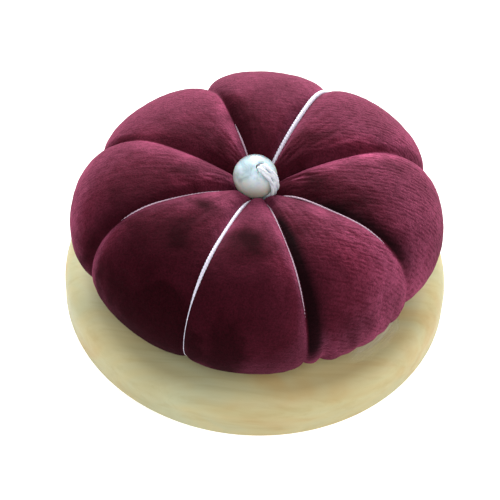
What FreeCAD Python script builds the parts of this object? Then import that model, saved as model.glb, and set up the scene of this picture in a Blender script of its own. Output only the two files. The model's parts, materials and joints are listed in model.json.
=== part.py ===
import FreeCAD, Part
import math
import os

# A pin cushion: a stuffed velvet ball, pulled into eight lobes by a wrapped thread, with a pearl bead
# in the dimple on top and a round wooden base below. Lengths are in millimetres and angles in degrees.
# The origin is the middle of the base's underside, with +Z up and the front of the cushion towards -Y.
# Sections are drawn in the XZ plane, where a reach is a distance from the Z axis.

# Wooden base
base_diameter = 90.0
base_thickness = 10.0
base_top_round = 5.0
base_bottom_round = 0.6

# Glue between the base and the cushion, with a smear that was squeezed out at the front right
glue_diameter = 60.0
glue_thickness = 0.6
smear_angle = -44.0
smear_width = 8.0
smear_reach = 39.5

# Cushion. Its axis stands a little off the base's centre, because it is placed by hand.
cushion_x = -0.5
cushion_y = -0.7
cushion_diameter = 85.2
cushion_top = 40.8
crown_round = 19.0
lower_side_round = 11.0
dimple_floor = 32.8
dimple_rim_reach = 13.5
dimple_rim_round = 12.0

# Velvet cover. Its mouth underneath is gathered and tucked in as a short neck.
cover_thickness = 1.0
stuffing_gap = 0.15
centre_hole_radius = 4.4
neck_radius = 6.4
neck_height = 5.5

# Wrapping thread: eight turns, each round the outside of the cushion and back up through its middle
thread_angles = (67.0, 20.0, -31.0, -73.0, -112.0, -155.0, 160.0, 114.0)
thread_diameter = 1.1
thread_room = 0.15
channel_room = 0.25
thread_core_reach = 2.1
thread_side_reach = 39.6
thread_top = 39.0
thread_dimple = 30.6
thread_rim_reach = 13.6
thread_core_round = 1.6
thread_dimple_round = 2.0
thread_rim_round = 14.0
thread_crown_round = 19.5
thread_side_round = 8.0

# Valley that each turn of thread pulls into the cushion
valley_radius = 4.5

# Gathering thread in the tucked-in neck
gathering_diameter = 0.7
gathering_room = 0.1
gathering_height = 3.6

# Bead, placed from the cushion's axis. Its hole leans forward and to the right.
bead_diameter = 10.0
bead_x = -0.6
bead_y = 0.3
bead_centre_height = 37.6
bead_hole_diameter = 2.4
bead_hole_round = 0.25
bead_lean = 23.0
bead_lean_direction = -46.0

# Thread that holds the bead: up the core, through the hole, over the bead's side and back down the core
bead_thread_diameter = 0.9
bead_thread_room = 0.3
bead_thread_legs = 1.3
bead_thread_over = 12.0
bead_thread_bends = 2
bead_thread_leaves = 150.0
hole_entry_distance = 5.6
hole_entry_drop = 7.4
hole_entry_round = 1.0
leg_round = 1.2
over_round = 0.8

# Knot where the threads are tied off, under the middle of the cushion
knot_diameter = 2.8
knot_height = 1.7
knot_round = 0.5

# Heights that follow from the dimensions above
cushion_floor = base_thickness + glue_thickness
thread_floor = cushion_floor + thread_diameter / 2 + thread_room
neck_top = cushion_floor + neck_height
knot_floor = cushion_floor + thread_room

ORIGIN = FreeCAD.Vector()
UP = FreeCAD.Vector(0, 0, 1)


def at(reach, height):
    """A point of the section plane."""
    return FreeCAD.Vector(reach, 0, height)


def corner_arc(before, corner, after, radius):
    """The first, middle and last points of the tangent arc that rounds a corner."""
    back = (before - corner).normalize()
    ahead = (after - corner).normalize()
    middle = (back + ahead).normalize()
    half_angle = back.getAngle(ahead) / 2
    tangent_length = radius / math.tan(half_angle)
    middle_distance = radius / math.sin(half_angle) - radius
    return corner + back * tangent_length, corner + middle * middle_distance, corner + ahead * tangent_length


def rounded_wire(corners, closed=True):
    """Straight runs joined by tangent arcs. Each corner is (reach, height, radius of its arc)."""
    points = [at(reach, height) for reach, height, _ in corners]
    count = len(points)
    edges = []
    ends = []
    for index, (_, _, radius) in enumerate(corners):
        if radius > 0:
            arc = corner_arc(points[index - 1], points[index], points[(index + 1) % count], radius)
        else:
            arc = (points[index], points[index], points[index])
        if ends and (arc[0] - ends[-1]).Length > 1e-6:
            edges.append(Part.LineSegment(ends[-1], arc[0]).toShape())
        if radius > 0:
            edges.append(Part.Arc(*arc).toShape())
        ends += [arc[0], arc[2]]
    if closed:
        edges.append(Part.LineSegment(ends[-1], ends[0]).toShape())
    return Part.Wire(edges)


def revolved(corners):
    """A closed section turned once round the Z axis."""
    return Part.Face(rounded_wire(corners)).revolve(ORIGIN, UP, 360)


def cylinder(radius, low, high):
    """An upright cylinder on the Z axis."""
    return Part.makeCylinder(radius, high - low, at(0, low))


def tube(path, diameter, name):
    """A round tube along a path. It prints the tube's volume beside its section times its length."""
    first = path.Edges[0]
    start = first.valueAt(first.FirstParameter)
    ring = Part.Circle(start, first.tangentAt(first.FirstParameter), diameter / 2).toShape()
    solid = Part.Solid(path.makePipeShell([Part.Wire(ring)], True, True))
    expected = path.Length * math.pi * diameter ** 2 / 4
    print(f"{name}: length {path.Length:.1f}, volume {solid.Volume:.2f}, section times length {expected:.2f}")
    return solid


def turned(shape, angle):
    """A copy of a shape, turned round the Z axis."""
    copy = shape.copy()
    copy.rotate(ORIGIN, UP, angle)
    return copy


def on_cushion(shape, angle=0.0):
    """A shape turned round the Z axis, then moved from there to the cushion's own axis."""
    placed = turned(shape, angle)
    placed.translate(FreeCAD.Vector(cushion_x, cushion_y, 0))
    return placed


def on_bead(shape):
    """A shape drawn round the bead's centre, turned to the hole's lean and moved to the bead."""
    placed = turned(shape, bead_lean_direction)
    placed.translate(FreeCAD.Vector(cushion_x + bead_x, cushion_y + bead_y, bead_centre_height))
    return placed


def save(shape, name):
    """Writes one part and prints its facts."""
    shape.exportStep(os.path.join("parts", name + ".step"))
    print(f"{name}: {len(shape.Solids)} solid, valid {shape.isValid()}, volume {shape.Volume:.1f}")


def thread_path():
    """One closed turn of the wrapping thread."""
    return rounded_wire([
        (thread_core_reach, thread_floor, thread_core_round),
        (thread_core_reach, thread_dimple, thread_dimple_round),
        (thread_rim_reach, thread_top, thread_rim_round),
        (thread_side_reach, thread_top, thread_crown_round),
        (thread_side_reach, thread_floor, thread_side_round),
    ])


def valley_path(inset):
    """The thread's line from the dimple round to the underside, moved outward so that a thicker tube
    along it leaves the thread just its room at the valley's bottom. An inset form's valley runs further
    in underneath, so that the skin outside it keeps its thickness there."""
    outward = valley_radius - thread_diameter / 2 - thread_room
    slope = math.atan2(thread_top - thread_dimple, thread_rim_reach - thread_core_reach)
    axis_height = thread_dimple - thread_core_reach * math.tan(slope) + outward / math.cos(slope)
    rim_shift = outward * math.tan(slope / 2)
    return rounded_wire([
        (0, axis_height, 0),
        (thread_rim_reach - rim_shift, thread_top + outward, thread_rim_round + outward),
        (thread_side_reach + outward, thread_top + outward, thread_crown_round + outward),
        (thread_side_reach + outward, thread_floor - outward, thread_side_round + outward),
        (neck_radius + valley_radius - inset, thread_floor - outward, 0),
    ], closed=False)


def lobed_form(inset, bore, neck=0.0):
    """The lobed ball with an upright hole, made smaller all round by the inset. The hole can be wider
    below the neck's top. There is a channel underneath for each thread."""
    half = cushion_diameter / 2 - inset
    low = cushion_floor + inset
    lip = dimple_floor - inset
    collar_top = neck_top + inset - cover_thickness
    corners = [
        (half, low, lower_side_round - inset),
        (half, cushion_top - inset, crown_round - inset),
        (dimple_rim_reach, cushion_top - inset, dimple_rim_round),
        (centre_hole_radius, lip, 0),
    ]
    if bore < centre_hole_radius:
        corners.append((bore, lip, 0))
    if neck > bore:
        corners += [(bore, collar_top, 0), (neck, collar_top, 0), (neck, low, 0)]
    else:
        corners.append((bore, low, 0))
    form = revolved(corners)

    valley = tube(valley_path(inset), 2 * (valley_radius + inset), "valley")
    channel_radius = thread_diameter / 2 + channel_room + inset
    channel = Part.makeCylinder(channel_radius, neck_radius + 2 * valley_radius, at(0, thread_floor), at(1, 0))
    for angle in thread_angles:
        form = form.cut(turned(valley, angle))
        form = form.cut(turned(channel, angle))
    return form


def make_wooden_base():
    half = base_diameter / 2
    return revolved([
        (0, 0, 0),
        (half, 0, base_bottom_round),
        (half, base_thickness, base_top_round),
        (0, base_thickness, 0),
    ])


def make_glue_layer():
    """A thin disc with a round-ended tongue, which is the smear."""
    disc = cylinder(glue_diameter / 2, base_thickness, cushion_floor)
    tongue_length = smear_reach - smear_width / 2
    tongue = Part.makeBox(tongue_length, smear_width, glue_thickness,
                          FreeCAD.Vector(0, -smear_width / 2, base_thickness))
    tongue_end = Part.makeCylinder(smear_width / 2, glue_thickness, at(tongue_length, base_thickness))
    return on_cushion(disc.fuse([tongue, tongue_end]).removeSplitter(), smear_angle)


def make_velvet_cover():
    """A skin round the stuffing, with the neck left standing inside and a ring-shaped channel in the neck
    for the gathering thread."""
    hollow = lobed_form(cover_thickness, centre_hole_radius - cover_thickness, neck_radius)
    cover = lobed_form(0, centre_hole_radius).cut(hollow)
    return on_cushion(cover.cut(neck_ring(gathering_diameter + 2 * gathering_room)))


def make_fibre_stuffing():
    inset = cover_thickness + stuffing_gap
    return on_cushion(lobed_form(inset, centre_hole_radius, neck_radius + stuffing_gap))


def neck_ring(diameter):
    """A ring of round section, halfway through the neck's wall."""
    ring_reach = (centre_hole_radius + neck_radius) / 2
    return Part.makeTorus(ring_reach, diameter / 2, at(0, cushion_floor + gathering_height))


def make_gathering_thread():
    return on_cushion(neck_ring(gathering_diameter))


def make_thread_knot():
    half = knot_diameter / 2
    return on_cushion(revolved([
        (0, knot_floor, 0),
        (half, knot_floor, knot_round),
        (half, knot_floor + knot_height, knot_round),
        (0, knot_floor + knot_height, 0),
    ]))


def make_pearl_bead():
    """A ball with a rounded-edged hole, leaning forward."""
    ball = Part.makeSphere(bead_diameter / 2)
    drilled = ball.cut(cylinder(bead_hole_diameter / 2, -bead_diameter, bead_diameter))
    rims = [edge for edge in drilled.Edges if abs(edge.Length - math.pi * bead_hole_diameter) < 1e-3
            and edge.BoundBox.ZLength < 1e-3]
    bead = drilled.makeFillet(bead_hole_round, rims)
    bead.rotate(ORIGIN, FreeCAD.Vector(0, 1, 0), bead_lean)
    return on_bead(bead)


def from_bead(angle, distance):
    """A point of the section plane by its angle from straight up and its distance from the bead's centre."""
    return distance * math.sin(math.radians(angle)), distance * math.cos(math.radians(angle))


def make_bead_thread():
    """Drawn round the bead's centre, in the plane of the hole's lean."""
    standoff = bead_diameter / 2 + bead_thread_room + bead_thread_diameter / 2
    lean = math.radians(bead_lean_direction)
    core = -bead_x * math.cos(lean) - bead_y * math.sin(lean)
    knot_top = knot_floor + knot_height - bead_centre_height
    first_leg = core - bead_thread_legs / 2
    last_leg = core + bead_thread_legs / 2

    corners = [(first_leg, knot_top, 0), (first_leg, -hole_entry_drop, hole_entry_round)]
    corners.append((*from_bead(bead_lean, -hole_entry_distance), hole_entry_round))
    out_distance = standoff / math.cos(math.radians(bead_thread_over))
    corners.append((*from_bead(bead_lean, out_distance), over_round))

    touches = bead_lean + bead_thread_over
    bend = (bead_thread_leaves - touches) / bead_thread_bends
    for index in range(bead_thread_bends):
        middle = touches + bend * (index + 0.5)
        corners.append((*from_bead(middle, standoff / math.cos(math.radians(bend / 2))), standoff))

    leave_reach, leave_height = from_bead(bead_thread_leaves, standoff)
    fall = (leave_reach - last_leg) / math.tan(math.radians(bead_thread_leaves - 90))
    corners.append((last_leg, leave_height - fall, leg_round))
    corners.append((last_leg, knot_top, 0))
    return on_bead(tube(rounded_wire(corners, closed=False), bead_thread_diameter, "bead_thread"))


os.makedirs("parts", exist_ok=True)

save(make_wooden_base(), "wooden_base")
save(make_glue_layer(), "glue_layer")
save(make_velvet_cover(), "velvet_cover")
save(make_fibre_stuffing(), "fibre_stuffing")
save(make_gathering_thread(), "gathering_thread")
save(make_thread_knot(), "thread_knot")
save(make_pearl_bead(), "pearl_bead")
save(make_bead_thread(), "bead_thread")

one_turn = tube(thread_path(), thread_diameter, "wrap_thread")
for number, thread_angle in enumerate(thread_angles, start=1):
    save(on_cushion(one_turn, thread_angle), f"wrap_thread_{number}")
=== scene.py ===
import bmesh
import bpy
import json
import math
import numpy as np
from mathutils import Matrix, Vector


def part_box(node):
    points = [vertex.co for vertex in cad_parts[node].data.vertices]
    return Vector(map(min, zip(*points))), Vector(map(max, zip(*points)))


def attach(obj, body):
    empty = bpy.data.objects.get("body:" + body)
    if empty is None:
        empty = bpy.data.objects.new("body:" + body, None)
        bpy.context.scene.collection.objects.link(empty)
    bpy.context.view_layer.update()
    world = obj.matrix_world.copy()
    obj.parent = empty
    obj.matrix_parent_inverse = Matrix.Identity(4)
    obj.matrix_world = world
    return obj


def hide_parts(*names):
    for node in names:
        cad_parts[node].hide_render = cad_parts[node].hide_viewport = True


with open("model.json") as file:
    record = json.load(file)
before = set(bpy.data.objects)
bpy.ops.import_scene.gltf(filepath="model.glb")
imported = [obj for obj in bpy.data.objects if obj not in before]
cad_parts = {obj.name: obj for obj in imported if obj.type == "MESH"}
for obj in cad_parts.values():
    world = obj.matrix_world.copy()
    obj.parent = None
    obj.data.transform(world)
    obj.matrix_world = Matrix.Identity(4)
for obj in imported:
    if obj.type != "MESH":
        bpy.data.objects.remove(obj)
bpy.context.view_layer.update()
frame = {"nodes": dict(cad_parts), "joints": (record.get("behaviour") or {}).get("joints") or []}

# A pin cushion: a stuffed velvet ball pulled into eight lobes by a wrapped thread, with a pearl bead in
# the dimple on top and a turned wooden base below. Sizes are in millimetres until a mesh is made, and
# angles are in degrees. Sections are drawn as (reach, height), where reach is the distance from an axis.
MM = 0.001


# ---------------------------------------------------------------- places and sizes, read from the frame

def node_box(node):
    """A CAD node's lowest and highest corners in millimetres."""
    low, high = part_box(node)
    return np.array(low) / MM, np.array(high) / MM


base_low, base_high = node_box("wooden_base")
BASE_RADIUS = (base_high[0] - base_low[0]) / 2
BASE_TOP = base_high[2]

cover_low, _ = node_box("velvet_cover")
FLOOR = cover_low[2]

knot_low, knot_high = node_box("thread_knot")
AXIS_X = (knot_low[0] + knot_high[0]) / 2
AXIS_Y = (knot_low[1] + knot_high[1]) / 2

bead_low, bead_high = node_box("pearl_bead")
BEAD_CENTRE = Vector((bead_low + bead_high) / 2)
BEAD_RADIUS = (bead_high[0] - bead_low[0]) / 2
BEAD_AXIS = Vector(frame["joints"][0]["axis"]).normalized()

# Cushion: the eight seams, from thread 1 round to thread 8
SEAM_ANGLES = (65.5, 19.5, -31.5, -72.5, -111, -155, -199.5, -249.2)
SEAM_SIDE = (38.4, 38.6, 39.2, 39.9, 40.8, 39.8, 38.4, 36.0)
SEAM_TOP = (38.8, 38.6, 38.6, 38.6, 39.0, 38.8, 38.4, 38.4)

# How far each seam has wandered sideways by the time it reaches the side, in degrees
SEAM_BEND = (0.0, 0.0, 0.8, 0.0, 0.0, 0.0, 0.0, 2.6)

# The lobe after each seam: how far it reaches at the side, its height and the lean of its crest
LOBE_SIDE = (44.4, 43.1, 41.8, 42.6, 42.3, 43.5, 42.7, 43.4)
LOBE_TOP = (41.2, 40.4, 40.3, 40.5, 40.6, 40.6, 39.8, 41.2)
LOBE_LEAN = (0.0, 0.35, -0.2, 0.0, 0.0, 0.0, 0.0, 0.0)

# Painted shade beside each lobe's first and last seam, where its groove lies in shadow: how much darker the
# pile is painted there. Below 0 it is painted lighter, a painted light.
SEAM_SHADE_FIRST = (0.0, -0.1, 0.0, 0.0, 0.1, 0.2, -0.1, 0.25)
SEAM_SHADE_LAST = (0.0, 0.95, 1.25, 0.1, 0.05, 0.0, -0.3, 0.0)
# How wide the strip of painted shade is, as a share of half a lobe
SEAM_SHADE_WIDTH = 0.45
# Beside each lobe's last seam: the height at which the painted shade has half faded out going down, and how
# far above and below that height the change goes on
SEAM_SHADE_DOWN_TO = (0.0, 31.0, 23.0, 0.0, 0.0, 0.0, 0.0, 0.0)
SEAM_SHADE_FADE = 5.0
# The reaches between which the painted shade beside the last seam starts
SEAM_SHADE_FROM = 6.0
SEAM_SHADE_FULL = 19.0

# The lobes' middle, a little off the axis of the thread and the knot
MIDDLE_X = AXIS_X + 0.5
MIDDLE_Y = AXIS_Y - 0.15
# The section's reaches and heights
CREST_REACH = 21.5
SEAM_CREST_REACH = 24.0
SIDE_HEIGHT = 23.2
SIDE_REACH = 38.0
CORE_REACH = 2.9
DIMPLE_HEIGHT = 32.4
SEAM_DIMPLE_HEIGHT = 30.8
FLOOR_REACH = 23.0
SEAM_FLOOR = FLOOR + 1.4
# The tucked-in neck of the skin, at the bottom of the core
NECK_REACH = 6.6
NECK_HEIGHT = 6.2
NECK_FADE = 3.0
# Powers of the section's superellipses: 2 is an ellipse, and more is squarer
CREST_ROUNDNESS = 2.1
DIMPLE_ROUNDNESS = 2.2
SEAM_DIMPLE_ROUNDNESS = 2.0
FOOT_ROUNDNESS = 2.0
# How full a lobe stays towards its seams, and how steeply it drops into them
FULL_TO_SEAM = 3.0
VALLEY_SHAPE = 0.5
# The gap that the skin keeps from the bead
BEAD_ROOM = 0.25

# The skin's points across a lobe, and along each part of the section
COLUMNS_PER_LOBE = 28
COLUMN_CROWDING = 1.25
ROWS_INNER = 22
ROWS_UPPER = 26
ROWS_LOWER = 16
ROWS_FLOOR = 8
ROWS_CORE = 6


# ---------------------------------------------------------------- mesh helpers

def grid_faces(rows, columns, closed_rows):
    """Quads between neighbouring points of a grid that is stored row by row. Each row is a closed ring."""
    faces = []
    for row in range(rows if closed_rows else rows - 1):
        for column in range(columns):
            next_row = (row + 1) % rows
            next_column = (column + 1) % columns
            faces.append((
                row * columns + column,
                row * columns + next_column,
                next_row * columns + next_column,
                next_row * columns + column,
            ))
    return faces


def end_faces(rows, columns):
    """The two faces that close a grid of rings at its first and its last ring."""
    last = (rows - 1) * columns
    return [tuple(reversed(range(columns))), tuple(last + index for index in range(columns))]


def ring_points(reach, height, ring):
    """Points in rings about the upright axis, from the reaches and heights of the rings."""
    height = np.repeat(height, len(ring), axis=1)
    return np.stack([reach * np.cos(ring), reach * np.sin(ring), height], axis=2).reshape(-1, 3)


def turn_outward(mesh):
    """Turns a closed mesh's faces round if they look inward."""
    shape = bmesh.new()
    shape.from_mesh(mesh)
    if shape.calc_volume(signed=True) < 0:
        mesh.flip_normals()
    shape.free()


def new_piece(name, points, faces, body="cushion", stands_for=(), material=None):
    """A smooth mesh object from points in millimetres, riding on a body if one is named."""
    mesh = bpy.data.meshes.new(name)
    mesh.from_pydata([tuple(point) for point in np.asarray(points, dtype=float) * MM], [], faces)
    mesh.validate()
    turn_outward(mesh)
    mesh.polygons.foreach_set("use_smooth", [True] * len(mesh.polygons))
    piece = bpy.data.objects.new(name, mesh)
    bpy.context.collection.objects.link(piece)
    if body:
        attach(piece, body)
    if stands_for:
        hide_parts(*stands_for)
    if material:
        mesh.materials.append(material)
    return piece


def settled_mesh(piece):
    """The piece's mesh as its modifiers leave it."""
    view = bpy.context.evaluated_depsgraph_get()
    return bpy.data.meshes.new_from_object(piece.evaluated_get(view), depsgraph=view)


def subdivide(piece):
    """Applies one level of subdivision surface to the piece."""
    modifier = piece.modifiers.new("Subdivision", "SUBSURF")
    modifier.levels = 1
    modifier.render_levels = 1
    mesh = settled_mesh(piece)
    piece.modifiers.clear()
    piece.data = mesh


def smooth_step(value, low, high):
    """Rises smoothly from 0 at low to 1 at high."""
    share = np.clip((value - low) / (high - low), 0, 1)
    return share * share * (3 - 2 * share)


# ---------------------------------------------------------------- the cushion's shape

def quarter(start, end, roundness, steps, flat_end):
    """A quarter of a superellipse from one point to another. It is level at the end named by flat_end."""
    turn = np.linspace(0, math.pi / 2, steps + 1)[:-1]
    slow = 1 - np.abs(np.cos(turn)) ** (2 / roundness)
    fast = np.abs(np.sin(turn)) ** (2 / roundness)
    reach_share, height_share = (slow, fast) if flat_end == "end" else (fast, slow)
    reach = start[0] + (end[0] - start[0]) * reach_share
    height = start[1] + (end[1] - start[1]) * height_share
    return np.stack([reach, height], axis=1)


def run(start, end, steps):
    """A straight run of points that leaves out its last."""
    share = np.linspace(0, 1, steps + 1)[:-1, None]
    return np.array(start) * (1 - share) + np.array(end) * share


def section(side, top, crest_reach, floor, dimple_height, dimple_roundness):
    """The cushion's closed section at one angle: out of the dimple, over the crest, down the side, back
    underneath and up the core."""
    dimple = (CORE_REACH, dimple_height)
    crest = (crest_reach, top)
    flank = (side, SIDE_HEIGHT)
    foot = (FLOOR_REACH, floor)
    heel = (CORE_REACH, floor)
    return np.concatenate([
        quarter(dimple, crest, dimple_roundness, ROWS_INNER, "end"),
        quarter(crest, flank, CREST_ROUNDNESS, ROWS_UPPER, "start"),
        quarter(flank, foot, FOOT_ROUNDNESS, ROWS_LOWER, "end"),
        run(foot, heel, ROWS_FLOOR),
        run(heel, dimple, ROWS_CORE),
    ])


def seam_section(number):
    """The section at a seam."""
    return section(SEAM_SIDE[number], SEAM_TOP[number], SEAM_CREST_REACH, SEAM_FLOOR,
                   SEAM_DIMPLE_HEIGHT, SEAM_DIMPLE_ROUNDNESS)


def lobe_section(number):
    """The section at a lobe's middle."""
    return section(LOBE_SIDE[number], LOBE_TOP[number], CREST_REACH, FLOOR,
                   DIMPLE_HEIGHT, DIMPLE_ROUNDNESS)


def pushed_from_bead(points, room):
    """Points with those that are inside the bead, or nearer to it than the room, pressed outwards."""
    away = points - np.array(BEAD_CENTRE)
    distance = np.linalg.norm(away, axis=-1, keepdims=True)
    return np.array(BEAD_CENTRE) + away * np.maximum(1, (BEAD_RADIUS + room) / distance)


def bent_angle(angle, bend, reach):
    """The angles in radians of points on a seam that bends sideways by the time it reaches the side."""
    return np.radians(angle + bend * np.minimum(1, reach / SIDE_REACH) ** 2)


def across_lobe():
    """Places across a lobe from -1 at one seam to just before 1 at the next, closer beside the seams."""
    even = np.linspace(-1, 1, COLUMNS_PER_LOBE + 1)[:-1]
    return np.sign(even) * (1 - (1 - np.abs(even)) ** COLUMN_CROWDING)


def cushion_points(fullness=1.0):
    """The skin's points as rows along the section and columns round the cushion, with each point's angle
    in radians and how much painted shade it gets beside its seams."""
    columns = []
    angles = []
    seam_shade = []
    for number, start in enumerate(SEAM_ANGLES):
        following = (number + 1) % len(SEAM_ANGLES)
        end = SEAM_ANGLES[following] - (360 if following == 0 else 0)
        for place in across_lobe():
            share = (place + 1) / 2
            valley = seam_section(number) * (1 - share) + seam_section(following) * share
            leaning = place + LOBE_LEAN[number] * (1 - place * place)
            swell = (1 - abs(leaning) ** FULL_TO_SEAM) ** VALLEY_SHAPE * fullness
            profile = valley + (lobe_section(number) - valley) * swell
            bend = SEAM_BEND[number] * (1 - share) + SEAM_BEND[following] * share
            angle = bent_angle(start + (end - start) * share, bend, profile[:, 0])
            columns.append(np.stack([
                MIDDLE_X + profile[:, 0] * np.cos(angle),
                MIDDLE_Y + profile[:, 0] * np.sin(angle),
                profile[:, 1],
            ], axis=1))
            angles.append(angle)
            # Painted shade beside the seams, where the grooves lie in shadow, faded out below a height and
            # near the core
            down_to = SEAM_SHADE_DOWN_TO[number]
            pressed = smooth_step(profile[:, 1], down_to - SEAM_SHADE_FADE, down_to + SEAM_SHADE_FADE)
            pressed = pressed * smooth_step(profile[:, 0], SEAM_SHADE_FROM, SEAM_SHADE_FULL)
            first = SEAM_SHADE_FIRST[number] * (1 - smooth_step(place + 1, 0, SEAM_SHADE_WIDTH))
            last = SEAM_SHADE_LAST[number] * (1 - smooth_step(1 - place, 0, SEAM_SHADE_WIDTH))
            seam_shade.append(np.minimum(1, first + last * pressed))
    points = pushed_from_bead(np.stack(columns, axis=1), BEAD_ROOM)
    return points, np.stack(angles, axis=1), np.stack(seam_shade, axis=1)


# ---------------------------------------------------------------- stage, camera and lights

# The camera's height above the table as an angle, its roll, its distance and its lens, then where it
# aims from the frame's origin, to its own right and up
VIEW_RISE = 49.2
VIEW_ROLL = 2.95
VIEW_DISTANCE = 450.0
VIEW_LENS = 135.0
AIM_RIGHT = -1.08
AIM_UP = 8.26


def make_camera():
    """Looks at the cushion from the front and above, a little rolled, as a hand holds a camera."""
    rise = math.radians(VIEW_RISE)
    roll = math.radians(VIEW_ROLL)
    back = Vector((0, -math.cos(rise), math.sin(rise)))
    level_right = Vector((1, 0, 0))
    level_up = back.cross(level_right)
    right = level_right * math.cos(roll) + level_up * math.sin(roll)
    up = level_up * math.cos(roll) - level_right * math.sin(roll)
    place = back * VIEW_DISTANCE
    aim = right * AIM_RIGHT + up * AIM_UP
    facing = (place - aim).normalized()
    right = up.cross(facing).normalized()
    up = facing.cross(right)
    camera_data = bpy.data.cameras.new("camera")
    camera_data.lens = VIEW_LENS
    camera_data.clip_start = 0.01
    camera = bpy.data.objects.new("camera", camera_data)
    turned = Matrix((right, up, facing)).transposed().to_4x4()
    camera.matrix_world = Matrix.Translation(place * MM) @ turned
    bpy.context.collection.objects.link(camera)
    bpy.context.scene.camera = camera


# Soft lights as (name, place in metres, size in metres, power in watts, colour)
LIGHTS = (
    ("back", (0.0, 0.95, 0.35), 0.5, 24.0, (1.0, 1.0, 1.0)),
    ("back_left", (-0.5, 0.6, 0.6), 0.5, 3.4, (0.95, 0.98, 1.0)),
    ("right", (0.9, -0.1, 0.45), 0.5, 5.3, (1.0, 1.0, 1.0)),
    ("left", (-0.9, -0.1, 0.45), 0.5, 2.8, (0.95, 0.98, 1.0)),
    ("front", (0.0, -0.7, 0.8), 0.5, 6.5, (1.0, 1.0, 1.0)),
)
SKY_STRENGTH = 0.02
TABLE_GLOW = 0.4
# The table and the backdrop round it, in metres
TABLE_HALF = 6.0
BACKDROP_REACH = 5.0
BACKDROP_FOOT = -0.01
BACKDROP_HEIGHT = 6.0
BACKDROP_SIDES = 96


def area_light(name, place, size, power, colour):
    """A square soft light that faces the cushion."""
    light_data = bpy.data.lights.new(name, "AREA")
    light_data.shape = "SQUARE"
    light_data.size = size
    light_data.energy = power
    light_data.color = colour
    light = bpy.data.objects.new(name, light_data)
    light.location = place
    aim = Vector((0, 0, SIDE_HEIGHT * MM))
    light.rotation_euler = (aim - light.location).to_track_quat("-Z", "Y").to_euler()
    bpy.context.collection.objects.link(light)


def make_stage():
    """A white table that glows a little, as a light table does, soft lights above it, and a pale backdrop
    that only the camera sees."""
    mesh = bpy.data.meshes.new("floor")
    corners = [(-1, -1), (1, -1), (1, 1), (-1, 1)]
    mesh.from_pydata([(x * TABLE_HALF, y * TABLE_HALF, 0) for x, y in corners], [], [(0, 1, 2, 3)])
    floor = bpy.data.objects.new("floor", mesh)
    bpy.context.collection.objects.link(floor)
    ring = [(BACKDROP_REACH * math.cos(turn), BACKDROP_REACH * math.sin(turn))
            for turn in np.linspace(0, 2 * math.pi, BACKDROP_SIDES, endpoint=False)]
    wall_points = [(x, y, height) for height in (BACKDROP_FOOT, BACKDROP_HEIGHT) for x, y in ring]
    wall = bpy.data.meshes.new("backdrop")
    wall.from_pydata(wall_points, [], grid_faces(2, len(ring), False))
    backdrop = bpy.data.objects.new("backdrop", wall)
    backdrop.visible_diffuse = False
    backdrop.visible_glossy = False
    backdrop.visible_transmission = False
    backdrop.visible_shadow = False
    bpy.context.collection.objects.link(backdrop)
    surface = new_material("white_table")
    surface.settle({"Base Color": (0.9, 0.9, 0.9, 1), "Roughness": 0.9,
                    "Emission Color": WHITE, "Emission Strength": TABLE_GLOW})
    floor.data.materials.append(surface.material)
    glow = new_material("backdrop")
    glow.settle({"Base Color": BLACK, "Emission Color": WHITE, "Emission Strength": TABLE_GLOW})
    wall.materials.append(glow.material)

    world = bpy.data.worlds.new("studio")
    bpy.context.scene.world = world
    world.use_nodes = True
    background = world.node_tree.nodes["Background"]
    background.inputs["Color"].default_value = (0.92, 0.96, 1.0, 1)
    background.inputs["Strength"].default_value = SKY_STRENGTH
    for light in LIGHTS:
        area_light(*light)
    bpy.context.scene.view_settings.view_transform = "Standard"


# ---------------------------------------------------------------- materials

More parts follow.
